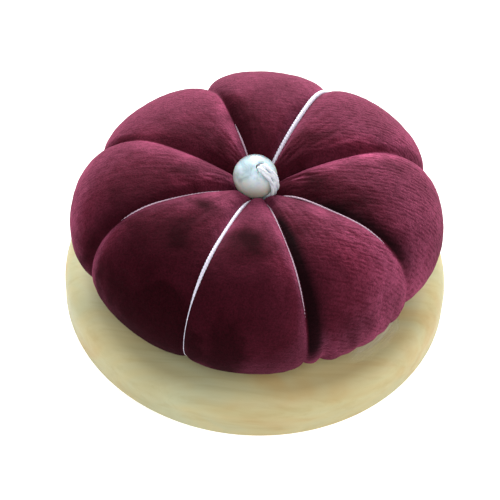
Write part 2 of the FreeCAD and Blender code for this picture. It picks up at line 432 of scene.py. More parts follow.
class Nodes:
    """A material's node tree with short ways to add to it."""

    def __init__(self, material):
        self.material = material
        self.tree = material.node_tree
        self.shader = self.tree.nodes["Principled BSDF"]
        self.sockets = self.shader.inputs

    def add(self, kind, inputs=None, **settings):
        """A new node. An input's value is a number, a colour or another node's output."""
        node = self.tree.nodes.new("ShaderNode" + kind)
        for name, value in settings.items():
            setattr(node, name, value)
        for name, value in (inputs or {}).items():
            if isinstance(value, bpy.types.NodeSocket):
                self.tree.links.new(value, node.inputs[name])
            else:
                node.inputs[name].default_value = value
        return node

    def link(self, output, socket):
        """Joins a node's output to one of the shader's sockets."""
        self.tree.links.new(output, self.sockets[socket])

    def settle(self, values):
        """Puts numbers and colours that are the same all over on the shader's own sockets."""
        for name, value in values.items():
            self.sockets[name].default_value = value

    def math(self, operation, first, second=0.0, clamp=False):
        return self.add("Math", {0: first, 1: second}, operation=operation, use_clamp=clamp).outputs[0]

    def places(self):
        """Where a point is on the object, in metres."""
        return self.add("TexCoord").outputs["Object"]

    def stretched(self, vector, scale, turn=0.0):
        """A vector turned about the upright axis by an angle in degrees, with its parts scaled."""
        turned = self.add("Mapping", {"Vector": vector, "Rotation": (0, 0, math.radians(turn))}).outputs[0]
        return self.add("Mapping", {"Vector": turned, "Scale": scale}).outputs[0]

    def noise(self, vector, scale, detail=2.0, roughness=0.5, distortion=0.0, output="Fac"):
        inputs = {"Vector": vector, "Scale": scale, "Detail": detail, "Roughness": roughness,
                  "Distortion": distortion}
        return self.add("TexNoise", inputs).outputs[output]

    def drift(self, vector, scale, detail=2.0, roughness=0.5, distortion=0.0):
        """A smoothly changing random vector that leans no way on average."""
        colour = self.noise(vector, scale, detail, roughness, distortion, "Color")
        return self.vectors("SUBTRACT", colour, (0.5, 0.5, 0.5))

    def ramp(self, factor, *stops):
        """A colour ramp from (place, colour) stops."""
        node = self.add("ValToRGB", {"Fac": factor})
        elements = node.color_ramp.elements
        elements[0].position, elements[0].color = stops[0]
        elements[1].position, elements[1].color = stops[-1]
        for place, colour in stops[1:-1]:
            elements.new(place).color = colour
        return node.outputs["Color"]

    def mix(self, factor, first, second, blend="MIX"):
        node = self.add("Mix", {"Factor": factor}, data_type="RGBA", blend_type=blend)
        for socket, value in ((node.inputs[6], first), (node.inputs[7], second)):
            if isinstance(value, bpy.types.NodeSocket):
                self.tree.links.new(value, socket)
            else:
                socket.default_value = value
        return node.outputs[2]

    def vectors(self, operation, first, second=None, scale=None):
        """Vector arithmetic on one or two vectors."""
        inputs = {0: first}
        if second is not None:
            inputs[1] = second
        if scale is not None:
            inputs["Scale"] = scale
        return self.add("VectorMath", inputs, operation=operation).outputs[0]

    def between(self, length, low, high, first=0.0, last=1.0, kind="LINEAR"):
        """A number that goes from first to last as a length goes from low to high, in millimetres."""
        inputs = {"Value": length, "From Min": low * MM, "From Max": high * MM, "To Min": first,
                  "To Max": last}
        return self.add("MapRange", inputs, interpolation_type=kind).outputs["Result"]

    def faded(self, level, x, y, near, far):
        """A share that falls smoothly from 1 to 0 between two distances from a place, in millimetres."""
        away = self.add("VectorMath", {0: level, 1: (x * MM, y * MM, 0)}, operation="DISTANCE")
        return self.between(away.outputs["Value"], near, far, 1.0, 0.0, "SMOOTHSTEP")

    def bump(self, height, strength, distance, after=None):
        """A bumped normal. The distance is in metres, and the bumps may sit on another normal."""
        inputs = {"Height": height, "Strength": strength, "Distance": distance}
        if after is not None:
            inputs["Normal"] = after
        return self.add("Bump", inputs).outputs["Normal"]


def new_material(name):
    material = bpy.data.materials.new(name)
    material.use_nodes = True
    return Nodes(material)


BLACK = (0, 0, 0, 1)
WHITE = (1, 1, 1, 1)


def shade(red, green, blue):
    """A colour given as it looks on a screen, from 0 to 255, as the linear colour of a shader."""
    linear = [((part / 255 + 0.055) / 1.055) ** 2.4 for part in (red, green, blue)]
    return (*linear, 1.0)


SHEEN_TINT = shade(222, 108, 149)
# The way the pile leans, and how unevenly it does so
NAP_LEAN = (0.34, 0.03, 0.0)
NAP_UNREST = 0.25
# The least light left by the painted shade beside the seams and by the darkest painted patch
SEAM_LIGHT_LEAST = 0.14
PATCH_LEAST = 0.08
# How light the pile is painted outside the patches, and how far the painted patches' edges wander, in
# millimetres
PILE_LIGHT = 0.95
PATCH_WANDER = 12.0
# Painted shade on the lower flanks, which face away from the lights above: heights between which the pile
# gets lighter going up, and how light it is at the lower one
LOW_SHADE_FROM = 15.0
LOW_SHADE_TO = 33.0
LOW_SHADE_LIGHT = 0.45
# Painted light and shade patches, partly for nap brushed another way and partly for the shade in the dimple
# and
# the grooves and the light on the lobes: x, y and reach in millimetres and how much lighter, or below 0 how
# much darker, the pile is painted there
LIGHT_AND_SHADE_PATCHES = (
    (0, 4, 25, -0.35), (4, 28, 9, -0.25), (-4, 17, 5, -0.3), (-7, 13, 6, 0.6),
    (-5, 9, 4, 0.7), (5, 14, 8, 0.5), (20, 10, 13, 0.2), (13, 9, 5, -0.6),
    (15, 5, 7, 1.2), (22, 8, 7, 1.4), (31, 11, 6, 0.8), (27, 20, 11, -0.3),
    (38, 2, 9, -0.35), (29, 4, 6, -0.3), (12, -5, 7, -0.6), (20, -9, 8, -0.7),
    (34, -10, 6, 0.3), (36, -20, 8, 0.8), (23, -24, 19, 1.3), (25, -24, 7, 0.3),
    (13, -12, 4, 0.5), (22, -37, 8, -0.5), (9, -20, 6, -0.3), (6, -33, 8, 0.5),
    (5, -19, 4, 0.4), (3, -12, 4, 0.4), (9, -43, 8, -0.3), (0, -43, 14, -0.4),
    (-2, -23, 8, -0.8), (-7, -20, 4, 0.3), (-7, -42, 10, -0.6), (-14, -11, 5, -0.7),
    (-12, -15, 7, -0.25), (-18, -21, 8, -0.5), (-27, -21, 6, -0.35), (-18, -23, 16, -0.4),
    (-12, -39, 13, -0.5), (-19, -38, 9, -0.4), (-25, -35, 15, -0.9), (-34, -27, 9, -0.5),
    (-33, -20, 6, 0.8), (-10, -4, 5, 1.0), (-19, -7, 4, 0.8), (-17, -3, 6, -0.5),
    (-26, -8, 12, -0.3), (-38, -9, 9, 0.7), (-17, 3, 5, 0.6), (-24, 5, 6, 0.5),
    (-15, 11, 6, -0.4), (-22, 14, 6, -0.2), (4, -29, 6, 0.35), (1.5, -22, 5, -0.35),
    (-15, 14, 5, 0.3), (-10, 7, 3.5, -0.4), (12, 15, 5, 0.35), (4, 21, 5, 0.25),
    (-31, 0, 5, 0.25), (-33, -9, 4.5, -0.5), (-21, -28, 6, 0.2), (17, -31, 4, 0.6),
    (23, -25, 5, 0.5), (24, -35, 6, -0.4), (33, -29, 6, -0.3), (40, -14, 5, 0.3),
    (-9, 20, 4, 0.5), (-27, 8, 5, 0.4), (15, -39, 5, 0.6), (-8, -18, 4, 0.5),
    (-37, -12, 5, 0.3), (9, 3, 3, -0.4), (-24, -36, 9, -0.6), (-30, -28, 5, -0.2),
    (-36, -24, 4, -0.4), (9.5, -22, 4, -0.3), (14, -20, 7, -0.4), (20, -17, 6, -0.35),
    (30, -26, 7, -0.3), (34, -21, 5, -0.4), (13, 1, 4, 0.5), (27, 1, 4, 0.3),
    (-37, -18, 5, -0.4), (-4.5, -19, 4, 0.4), (-9, -11, 3, 0.4), (-17, -14.5, 4, 0.35),
    (-16, -33, 6, 0.4), (-9, -39, 6, 0.5), (5, -31, 5, 0.3), (-2, -45, 5, 0.4),
    (-16, -7, 3, 0.6), (-2, 13, 3.5, -0.4), (3, 10, 3.5, 0.3), (-8, 23, 4, 0.3),
    (-13, -43, 5, -0.6), (23, -10, 5, -0.5), (30.5, -14, 4, 0.5), (8, -1, 4, 0.6),
    (1, -9.5, 3.5, 0.4), (-39, -16, 5, -0.4),
)


def painted_light_and_shade(nodes, where):
    """Painted light and shade: how light the pile is painted at each place, from the patches and from a
    painted shade low down.
    """
    wander = nodes.vectors("SCALE", nodes.drift(where, 110.0, 3.0), scale=PATCH_WANDER * MM)
    level = nodes.vectors("MULTIPLY", nodes.vectors("ADD", where, wander), (1, 1, 0))
    light = PILE_LIGHT
    for x, y, reach, gain in LIGHT_AND_SHADE_PATCHES:
        light = nodes.math("ADD", nodes.math("MULTIPLY", nodes.faded(level, x, y, 0, reach), gain), light)
    height = nodes.add("SeparateXYZ", {0: where}).outputs["Z"]
    # Painted shade, darker towards the bottom of the cushion
    painted_low_shade = nodes.between(height, LOW_SHADE_FROM, LOW_SHADE_TO, LOW_SHADE_LIGHT)
    return nodes.math("MULTIPLY", nodes.math("MAXIMUM", light, PATCH_LEAST), painted_low_shade)


def velvet_material():
    """Burgundy velvet: a dark knitted ground under a short pile that leans one way. Painted light and shade
    patches, a painted shade low down and a painted shade beside the seams are multiplied into the ground and
    the sheen tint. The pile's sheen carries most of the colour."""
    nodes = new_material("velvet")
    where = nodes.places()
    cut = nodes.add("Attribute", attribute_name="cut").outputs["Vector"]
    speckle = nodes.noise(where, 2300, 3.0, 0.7)
    plush = nodes.noise(where, 760, 2.0, 0.6)
    # Painted shade beside the seams, read from the skin's attribute
    seam_shade = nodes.add("Attribute", attribute_name="seam_shade").outputs["Fac"]
    seam_light = nodes.math("MAXIMUM", nodes.math("SUBTRACT", 1.0, seam_shade), SEAM_LIGHT_LEAST)
    ground = nodes.ramp(speckle, (0.3, shade(30, 2, 7)), (0.7, shade(52, 5, 17)))
    light = painted_light_and_shade(nodes, where)
    # The painted shade beside the seams and the painted light and shade patches darken the ground
    for layer in (seam_light, nodes.math("ADD", light, 0.6, clamp=True)):
        ground = nodes.mix(1.0, ground, layer, "MULTIPLY")
    nodes.link(ground, "Base Color")

    brushed = nodes.vectors("SCALE", nodes.drift(where, 60.0, 3.0, 0.6, 0.8), scale=NAP_UNREST)
    leaning = nodes.vectors("ADD", nodes.add("NewGeometry").outputs["Normal"], NAP_LEAN)
    pile = nodes.vectors("NORMALIZE", nodes.vectors("ADD", leaning, brushed))

    wander = nodes.noise(nodes.stretched(cut, (450, 620, 1)), 1.0, 2.0)
    ribs = nodes.add("TexWave", {"Vector": cut, "Scale": 290.0, "Distortion": 2.8, "Detail": 3.0,
                                 "Detail Scale": 2.2}, wave_type="BANDS", bands_direction="Y").outputs["Fac"]
    ribs = nodes.math("MULTIPLY", ribs, nodes.ramp(wander, (0.4, BLACK), (0.58, WHITE)))
    side = nodes.add("SeparateXYZ", {0: where}).outputs["X"]
    ribs = nodes.math("MULTIPLY", ribs, nodes.between(side, 0.0, 25.0, 0.3))

    facing = nodes.add("LayerWeight", {"Blend": 0.5, "Normal": pile}).outputs["Facing"]
    depth = nodes.ramp(facing, (0.08, (0.78, 0.6, 0.62, 1)), (0.25, (0.76, 0.52, 0.56, 1)), (0.45, WHITE),
                       (0.85, (0.8, 0.78, 0.8, 1)))
    grain = nodes.ramp(speckle, (0.3, (0.5, 0.5, 0.5, 1)), (0.5, (0.82, 0.82, 0.82, 1)), (0.72, WHITE))
    mottle = nodes.ramp(plush, (0.32, (0.76, 0.76, 0.76, 1)), (0.68, WHITE))
    worn = nodes.ramp(ribs, (0.15, WHITE), (0.85, (0.65, 0.58, 0.61, 1)))
    tint = nodes.mix(1.0, SHEEN_TINT, depth, "MULTIPLY")
    # The sheen tint carries the painted shade beside the seams and the painted light and shade patches too
    for layer in (grain, mottle, worn, seam_light, light):
        tint = nodes.mix(1.0, tint, layer, "MULTIPLY")
    nodes.link(tint, "Sheen Tint")

    rough = nodes.bump(nodes.math("SUBTRACT", 1.0, ribs), 0.15, 0.0003, pile)
    rough = nodes.bump(plush, 0.2, 0.0004, rough)
    rough = nodes.bump(speckle, 0.3, 0.0003, rough)
    nodes.link(rough, "Normal")
    nodes.settle({"Roughness": 0.95, "Specular IOR Level": 0.05, "Sheen Weight": 0.9,
                  "Sheen Roughness": 0.6})
    return nodes.material


# How far the wood's grain bends, in millimetres
GRAIN_BEND = 14.0


def wood_material():
    """Pale varnished wood with a faint curved grain, warm patches and thin streaks."""
    nodes = new_material("pale_wood")
    where = nodes.places()
    bend = nodes.noise(nodes.stretched(where, (14, 14, 14)), 1.0, 2.0)
    sideways = nodes.add("CombineXYZ", {1: bend}).outputs[0]
    bent = nodes.vectors("ADD", where, nodes.vectors("SCALE", sideways, scale=GRAIN_BEND * MM))
    grain = nodes.noise(nodes.stretched(bent, (16, 190, 260)), 1.0, 6.0, 0.6, 0.6)
    streaks = nodes.noise(nodes.stretched(bent, (22, 420, 420)), 1.0, 4.0, 0.65, 0.4)
    broad = nodes.noise(nodes.stretched(bent, (20, 60, 60)), 1.0, 3.0, 0.55, 1.0)
    tone = nodes.ramp(broad, (0.34, shade(186, 184, 146)), (0.52, shade(192, 181, 135)),
                      (0.7, shade(190, 163, 110)))
    lines = nodes.ramp(grain, (0.35, (0.76, 0.68, 0.55, 1)), (0.6, WHITE))
    fine = nodes.ramp(streaks, (0.36, (0.86, 0.8, 0.7, 1)), (0.5, WHITE))
    tone = nodes.mix(0.3, tone, lines, "MULTIPLY")
    nodes.link(nodes.mix(0.4, tone, fine, "MULTIPLY"), "Base Color")
    nodes.link(nodes.bump(grain, 0.08, 0.0004), "Normal")
    nodes.settle({"Roughness": 0.5, "Specular IOR Level": 0.3})
    return nodes.material


def fibrous_material(name, noise, dark, light, bump, values):
    """Cotton or filling: two shades and a fine bump from one noise."""
    nodes = new_material(name)
    fibres = nodes.noise(nodes.places(), *noise)
    nodes.link(nodes.ramp(fibres, (0.3, dark), (0.7, light)), "Base Color")
    nodes.link(nodes.bump(fibres, *bump), "Normal")
    nodes.settle(values)
    return nodes.material


def thread_material(name, dark, light):
    """Cotton thread, a little lavender, with fine fibres along it."""
    return fibrous_material(name, (5200, 3.0, 0.65), dark, light, (0.25, 0.00008),
                            {"Roughness": 0.7, "Sheen Weight": 0.3, "Sheen Roughness": 0.4})


def pearl_material():
    """A glass pearl: a cool white with faint clouds under a clear coat, with a grey painted shade towards
    the back, which holds down the back light there, and a warm grey painted shade low down.
    """
    nodes = new_material("pearl")
    where = nodes.places()
    clouds = nodes.noise(where, 260, 3.0, 0.55, 0.8)
    body = nodes.ramp(clouds, (0.32, shade(158, 186, 192)), (0.5, shade(214, 238, 246)),
                      (0.66, shade(238, 250, 254)))
    parts = nodes.add("SeparateXYZ", {0: where})
    # Painted shade: greyer towards the back and warm grey low down
    painted_back_shade = nodes.between(parts.outputs["Y"], BEAD_CENTRE.y - 0.8, BEAD_CENTRE.y + 2.2)
    low_down = nodes.between(parts.outputs["Z"], BEAD_CENTRE.z + 3.8, BEAD_CENTRE.z - 0.5)
    body = nodes.mix(painted_back_shade, body, shade(98, 118, 124))
    nodes.link(nodes.mix(low_down, body, shade(188, 180, 166)), "Base Color")
    nodes.link(nodes.bump(clouds, 0.3, 0.0008), "Normal")
    nodes.settle({"Roughness": 0.36, "Specular IOR Level": 0.12, "Subsurface Weight": 0.5,
                  "Subsurface Scale": 2.5 * MM, "Coat Weight": 0.12, "Coat Roughness": 0.2})
    return nodes.material


def bundle_material():
    """The bead's thread: smooth white strands with a faint cool shade between their fibres."""
    return fibrous_material("bead_thread", (4200, 3.0, 0.65), shade(220, 227, 238), shade(246, 248, 252),
                            (0.2, 0.00006), {"Roughness": 0.45, "Subsurface Weight": 0.15,
                                             "Subsurface Scale": 0.0004})


def fibre_material():
    """White polyester fibre filling."""
    return fibrous_material("fibre_filling", (900, 5.0, 0.7, 1.0), shade(205, 203, 198),
                            shade(244, 243, 240), (0.6, 0.0008), {"Roughness": 0.9})


# Where the glue was smeared out: the smear's direction from the axis, and its middle's distance
SMEAR_ANGLE = -38.0
SMEAR_MIDDLE = 38.0


def glue_material():
    """Dried clear glue. Where it was wiped out along the cushion's edge it is a film of milky streaks."""
    nodes = new_material("dried_glue")
    where = nodes.places()
    streaks = nodes.noise(nodes.stretched(where, (60, 430, 200), 90 - SMEAR_ANGLE), 1.0, 4.0, 0.6, 0.4)
    level = nodes.vectors("MULTIPLY", where, (1, 1, 0))
    smear_turn = math.radians(SMEAR_ANGLE)
    smear_x = AXIS_X + SMEAR_MIDDLE * math.cos(smear_turn)
    smear_y = AXIS_Y + SMEAR_MIDDLE * math.sin(smear_turn)
    pool = nodes.faded(level, AXIS_X, AXIS_Y, 26, 29.5)
    smear = nodes.math("MULTIPLY", nodes.faded(level, AXIS_X, AXIS_Y, 37.5, 40.2),
                       nodes.faded(level, smear_x, smear_y, 3, 11))
    milky = nodes.ramp(streaks, (0.34, (0.12, 0.12, 0.12, 1)), (0.62, (0.6, 0.6, 0.6, 1)))
    nodes.link(nodes.math("MULTIPLY", nodes.math("MAXIMUM", pool, smear), milky), "Alpha")
    nodes.link(nodes.ramp(streaks, (0.35, shade(214, 206, 166)), (0.6, shade(232, 227, 200))), "Base Color")
    nodes.settle({"Roughness": 0.4})
    return nodes.material


# ---------------------------------------------------------------- cushion

CLOTH_FRAMES = 20
CLOTH_SCALE = 10.0
CLOTH_SETTINGS = {
    "quality": 6,
    "mass": 0.05,
    "vertex_group_mass": "held",
    "use_pressure": True,
    "uniform_pressure_force": 4.0,
    "tension_stiffness": 1,
    "compression_stiffness": 1,
    "bending_stiffness": 0.1,
}
# How far a point may move, and the rows from the core between which that limit rises from nothing
CLOTH_CAP = 0.5
CLOTH_CAP_FROM = 3
CLOTH_CAP_FULL = 18
# How full the lobes are before the cloth swells
START_FULLNESS = 0.91


def fixed_places(rows, columns):
    """Which skin points the threads, the core and the base hold still, from 0 to 1."""
    held = np.zeros((rows, columns))
    held[:, ::COLUMNS_PER_LOBE] = 1
    first_floor_row = ROWS_INNER + ROWS_UPPER + ROWS_LOWER
    held[first_floor_row - 1:, :] = 1
    held[:2, :] = 1
    return held


def inflated(points):
    """Blows the skin up a little as cloth, with the seams, the underside and the core held. This is done
    on a copy at ten times the size, where the pressure has as much hold on it as on a large pad."""
    rows, columns, _ = points.shape
    cloth = new_piece("cloth_trial", points.reshape(-1, 3) * CLOTH_SCALE,
                      grid_faces(rows, columns, True), body=None)
    held = fixed_places(rows, columns).ravel()
    group = cloth.vertex_groups.new(name="held")
    group.add([int(index) for index in np.nonzero(held)[0]], 1.0, "REPLACE")
    modifier = cloth.modifiers.new("Cloth", "CLOTH")
    for setting, value in CLOTH_SETTINGS.items():
        setattr(modifier.settings, setting, value)
    modifier.settings.effector_weights.gravity = 0
    modifier.collision_settings.use_collision = False
    modifier.point_cache.frame_start = 1
    modifier.point_cache.frame_end = CLOTH_FRAMES
    scene = bpy.context.scene
    for step in range(1, CLOTH_FRAMES + 1):
        scene.frame_set(step)
    mesh = settled_mesh(cloth)
    moved = np.empty(len(mesh.vertices) * 3)
    mesh.vertices.foreach_get("co", moved)
    moved = moved.reshape(points.shape) / (MM * CLOTH_SCALE)
    bpy.data.objects.remove(cloth, do_unlink=True)
    bpy.data.meshes.remove(mesh)
    scene.frame_set(1)
    shift = moved - points
    length = np.linalg.norm(shift, axis=2, keepdims=True)
    print(f"cloth: largest move {length.max():.2f} mm, mean {length.mean():.2f} mm")
    cap = CLOTH_CAP * smooth_step(np.arange(rows), CLOTH_CAP_FROM, CLOTH_CAP_FULL)[:, None, None]
    return points + shift * np.minimum(1, cap / np.maximum(length, 1e-9))


# Small folds where the velvet was pinched at the foot of one lobe, as angle and half width in degrees
# and depth in millimetres
PUCKERS = ((-66.5, 1.7, 1.8), (-59.5, 1.5, 0.5), (-54, 1.6, 0.9), (-46, 1.5, 0.5), (-40.5, 1.5, 0.9))
# How far below and above the side's height they fade out
PUCKERS_BELOW = 4.0
PUCKERS_ABOVE = 9.0


def puckered(points, angles):
    """Presses the small folds into the lower side of the skin."""
    middle = np.array([MIDDLE_X, MIDDLE_Y])
    away = points[..., :2] - middle
    reach = np.linalg.norm(away, axis=2)
    low_down = 1 - smooth_step(points[..., 2], SIDE_HEIGHT - PUCKERS_BELOW, SIDE_HEIGHT + PUCKERS_ABOVE)
    outside = smooth_step(reach, FLOOR_REACH, SIDE_REACH)
    pressed = np.zeros_like(reach)
    for place, half_width, depth in PUCKERS:
        off = (np.degrees(angles) - place + 180) % 360 - 180
        pressed += depth * np.exp(-(off / half_width) ** 2) * low_down * outside
    points = points.copy()
    points[..., :2] = middle + away * ((reach - pressed) / reach)[..., None]
    return points


def cut_places(points, angles):
    """Where each skin point was on the flat round of velvet: its distance along the skin from the middle,
    at its own angle."""
    steps = np.linalg.norm(np.diff(points, axis=0), axis=2)
    along = np.concatenate([np.zeros((1, points.shape[1])), np.cumsum(steps, axis=0)])
    return np.stack([along * np.cos(angles), along * np.sin(angles), np.zeros_like(along)], axis=2)


def make_cushion():
    """The velvet bag: swelled as cloth, puckered at one foot and subdivided."""
    points, angles, seam_shade = cushion_points(START_FULLNESS)
    points = inflated(points)
    points = puckered(points, angles)
    rows, columns, _ = points.shape
    cushion = new_piece("velvet_cushion", points.reshape(-1, 3), grid_faces(rows, columns, True),
                        stands_for=["velvet_cover"])
    cut = cushion.data.attributes.new("cut", "FLOAT_VECTOR", "POINT")
    cut.data.foreach_set("vector", (cut_places(points, angles) * MM).ravel())
    # Painted shade beside the seams, passed to the velvet as a point attribute
    pressed = cushion.data.attributes.new("seam_shade", "FLOAT", "POINT")
    pressed.data.foreach_set("value", seam_shade.ravel())
    subdivide(cushion)
    cushion.data.materials.append(velvet_material())


# The skin's thickness
SKIN = 1.2


def make_stuffing():
    """The fibre filling: the cushion's own shape, smaller all round by the skin's thickness, and wider at
    the bottom of the core, where the skin's neck is tucked in."""
    points, angles, _ = cushion_points(START_FULLNESS)
    points = puckered(points, angles)
    ahead = np.roll(points, -1, axis=0) - np.roll(points, 1, axis=0)
    across = np.roll(points, -1, axis=1) - np.roll(points, 1, axis=1)
    outward = np.cross(across, ahead)
    outward /= np.linalg.norm(outward, axis=2, keepdims=True)
    points = points - outward * SKIN
    axis = np.array([AXIS_X, AXIS_Y])
    away = points[..., :2] - axis
    reach = np.linalg.norm(away, axis=2, keepdims=True)
    in_neck = 1 - smooth_step(points[..., 2:], FLOOR + NECK_HEIGHT, FLOOR + NECK_HEIGHT + NECK_FADE)
    widened = np.maximum(reach, NECK_REACH * in_neck)
    points[..., :2] = axis + away * widened / reach
    points[..., 2] = np.maximum(points[..., 2], FLOOR + SKIN)
    rows, columns, _ = points.shape
    stuffing = new_piece("fibre_filling", points.reshape(-1, 3), grid_faces(rows, columns, True),
                         stands_for=["fibre_stuffing"], material=fibre_material())


# ---------------------------------------------------------------- threads

UPWARD = np.array([0, 0, 1])
PLIES = 3
# How far each ply's middle is from the thread's, as a share of the thread's radius
PLY_OFFSET = 0.36


def ply_reach(turn):
    """How far a twisted thread's surface is from its middle, as a share of its radius, at a turn in
    radians: the outline of a few round plies laid together."""
    spacing = 2 * math.pi / PLIES
    from_ply = (turn + spacing / 2) % spacing - spacing / 2
    ply_radius = 1 - PLY_OFFSET
    return PLY_OFFSET * np.cos(from_ply) + np.sqrt(ply_radius ** 2 - (PLY_OFFSET * np.sin(from_ply)) ** 2)


def twisted_tube(route, radii, normals, binormals, pitch, closed, around):
    """The points and faces of a twisted thread along a route."""
    steps = np.linalg.norm(np.diff(route, axis=0, append=route[:1]), axis=1)
    along = np.concatenate([[0], np.cumsum(steps)[:-1]])
    length = steps.sum() if closed else along[-1]
    turns = max(1, round(length / pitch))
    twist = 2 * math.pi * turns * along / length
    ring = np.linspace(0, 2 * math.pi, around, endpoint=False)
    reach = ply_reach(ring[None, :] - twist[:, None]) * radii[:, None]
    points = (route[:, None, :] + (reach * np.cos(ring))[:, :, None] * normals[:, None, :]
              + (reach * np.sin(ring))[:, :, None] * binormals[:, None, :])
    faces = grid_faces(len(route), around, closed)
    if not closed:
        faces += end_faces(len(route), around)
    return points.reshape(-1, 3), faces


def evenly(line, count, closed=True):
    """Points spaced evenly along a line."""
    whole = np.concatenate([line, line[:1]]) if closed else line
    steps = np.linalg.norm(np.diff(whole, axis=0), axis=1)
    along = np.concatenate([[0], np.cumsum(steps)])
    places = np.linspace(0, along[-1], count, endpoint=not closed)
    return np.stack([np.interp(places, along, whole[:, part]) for part in range(whole.shape[1])], axis=1)


def softened(line, passes, closed=True):
    """A line with its corners eased. An open line keeps its ends."""
    for _ in range(passes):
        eased = (np.roll(line, 1, axis=0) + 2 * line + np.roll(line, -1, axis=0)) / 4
        if not closed:
            eased[0], eased[-1] = line[0], line[-1]
        line = eased
    return line


# Each thread's radius on top, and at the side, where the pile closes over it
THREAD_RADII = (0.55, 0.45, 0.2, 0.23, 0.47, 0.3, 0.45, 0.26)
THREAD_SIDE_RADII = (0.5, 0.45, 0.15, 0.18, 0.14, 0.2, 0.45, 0.2)
THREAD_PITCH = 2.4
THREAD_STEPS = 900
THREAD_AROUND = 18
# Passes that ease the line and the outward direction of a thread
LINE_PASSES = 12
OUTWARD_PASSES = 24
# How far the middle of each thread stands out of its valley at the dimple, on the crest and at the side
THREAD_STANDS = (
    (0.7, 0.8, 0.6),
    (-0.5, -0.5, -0.5),
    (1.0, 0.1, -0.4),
    (0.35, 0.04, 0.0),
    (0.8, 0.2, 0.04),
    (0.1, 0.0, -0.3),
    (-0.5, -0.5, -0.5),
    (0.5, -0.1, -0.1),
)
# The same where it is tucked in, under the cushion and in the core
UNDER_STAND = 0.7
# Heights above the side between which a thread comes out on top
ON_TOP_FROM = 8.0
ON_TOP_FULL = 16.5
# Reaches between which a thread leaves the dimple
DIMPLE_FROM = 8.0
DIMPLE_TO = 20.0
# Heights above the cushion's floor between which a thread goes underneath
UNDER_FULL = 1.0
UNDER_TO = 5.0
# How far outside the core a thread is on top, and how far outside it a thread is no longer tucked in
CORE_TO_TOP = 1.0
CORE_TO_TUCK = 0.6


def to_left(ahead):
    """Unit directions a quarter turn to the left of the given ones."""
    left = np.stack([-ahead[:, 1], ahead[:, 0]], axis=1)
    return left / np.linalg.norm(left, axis=1, keepdims=True)


def outward_round(line):
    """The direction that points out of a closed line at each of its points."""
    return to_left(np.roll(line, -1, axis=0) - np.roll(line, 1, axis=0))


def stood_up(flat, radial):
    """Pairs of (reach, height) as places in the upright plane that a level direction points along."""
    return flat[:, :1] * radial + flat[:, 1:] * UPWARD


def thread_stand(number, reach, height, on_top):
    """How far a thread's middle stands out of its valley at each point of its line."""
    dimple_stand, crest_stand, side_stand = THREAD_STANDS[number]
    near_middle = 1 - smooth_step(reach, DIMPLE_FROM, DIMPLE_TO)
    stand = side_stand + (crest_stand - side_stand) * on_top
    stand = stand + (dimple_stand - stand) * near_middle * on_top
    underneath = 1 - smooth_step(height, FLOOR + UNDER_FULL, FLOOR + UNDER_TO)
    in_core = 1 - smooth_step(reach, CORE_REACH, CORE_REACH + CORE_TO_TUCK)
    return stand + (UNDER_STAND - stand) * np.maximum(underneath, in_core)


def make_wrap_thread(number, material):
    """One turn of the wrapping thread: in its seam's valley, underneath and up the core."""
    line = evenly(seam_section(number), THREAD_STEPS)
    outward = softened(outward_round(line), OUTWARD_PASSES)
    reach = line[:, 0]
    height = line[:, 1]
    on_top = smooth_step(height, SIDE_HEIGHT + ON_TOP_FROM, SIDE_HEIGHT + ON_TOP_FULL)
    on_top = on_top * smooth_step(reach, CORE_REACH, CORE_REACH + CORE_TO_TOP)
    stand = thread_stand(number, reach, height, on_top)
    line = softened(line + outward * stand[:, None], LINE_PASSES)
    outward = outward_round(line)
    angle = bent_angle(SEAM_ANGLES[number], SEAM_BEND[number], reach)
    radial = np.stack([np.cos(angle), np.sin(angle), np.zeros_like(angle)], axis=1)
    route = np.array([MIDDLE_X, MIDDLE_Y, 0]) + stood_up(line, radial)
    normals = stood_up(outward, radial)
    binormals = np.cross(UPWARD, radial)
    side_radius = THREAD_SIDE_RADII[number]
    radii = side_radius + (THREAD_RADII[number] - side_radius) * on_top
    points, faces = twisted_tube(route, radii, normals, binormals, THREAD_PITCH, True, THREAD_AROUND)
    name = f"wrap_thread_{number + 1}"
    new_piece(name + "_twisted", points, faces, stands_for=[name], material=material)


# ---------------------------------------------------------------- bead and its thread

HOLE_RADIUS = 1.2
HOLE_ROUND = 0.25
BEAD_AROUND = 128
BEAD_STEPS = 96
LIP_STEPS = 6


def make_bead():
    """A ball turned about its hole's axis, with a rounded lip at each end of the hole."""
    lip = HOLE_RADIUS + HOLE_ROUND
    lip_turn = math.asin(lip / (BEAD_RADIUS - HOLE_ROUND))
    outer = np.linspace(lip_turn, math.pi - lip_turn, BEAD_STEPS)
    profile = [(BEAD_RADIUS * math.sin(turn), BEAD_RADIUS * math.cos(turn)) for turn in outer]
    centre_height = (BEAD_RADIUS - HOLE_ROUND) * math.cos(lip_turn)
    for side, first, last in ((-1, lip_turn, math.pi / 2), (1, math.pi / 2, lip_turn)):
        for turn in np.linspace(first, last, LIP_STEPS):
            lip_height = centre_height + HOLE_ROUND * math.cos(turn)
            profile.append((lip - HOLE_ROUND * math.sin(turn), side * lip_height))
    profile = np.array(profile)
    ring = np.linspace(0, 2 * math.pi, BEAD_AROUND, endpoint=False)
    points = ring_points(profile[:, :1], profile[:, 1:], ring)
    turn = Vector((0, 0, 1)).rotation_difference(BEAD_AXIS).to_matrix()
    points = points @ np.array(turn).T + np.array(BEAD_CENTRE)
    new_piece("drilled_pearl", points, grid_faces(len(profile), BEAD_AROUND, True),
              body="bead", stands_for=["pearl_bead"], material=pearl_material())


STRANDS = 5
STRAND_PITCH = 2.2
STRAND_STEPS = 420
STRAND_AROUND = 15
STRAND_TURNS = 2.6
BUNDLE_PASSES = 30
